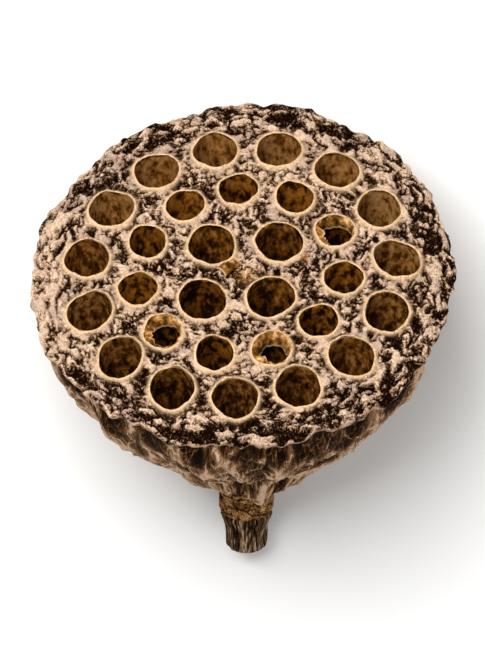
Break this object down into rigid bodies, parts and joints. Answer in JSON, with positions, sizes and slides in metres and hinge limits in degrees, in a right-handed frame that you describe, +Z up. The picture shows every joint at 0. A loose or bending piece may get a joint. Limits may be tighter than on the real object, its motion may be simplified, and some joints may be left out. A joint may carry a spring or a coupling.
{
  "type": "dried lotus pod",
  "caption": "Dried lotus seed head lying on its back, with open seed cells, a frilled rim, a pleated wall and a short cut stem.",
  "frame": {"origin": "on the surface that the pod lies on, under the middle of its box", "axes": "+Z up from the surface; -Y towards the cut end of the stem; the seed face looks up and towards +Y"},
  "size_m": [0.11, 0.1194, 0.0948],
  "materials": {
    "dry_tissue": "dry crumpled plant tissue, matt, pinkish tan on the ridges and dark brown in the creases",
    "stem_bark": "dry stem, ochre brown collar and grey brown fibrous stub, matt"
  },
  "bodies": {
    "root": {"receptacle": "dry_tissue", "stem": "stem_bark"}
  },
  "joints": []
}
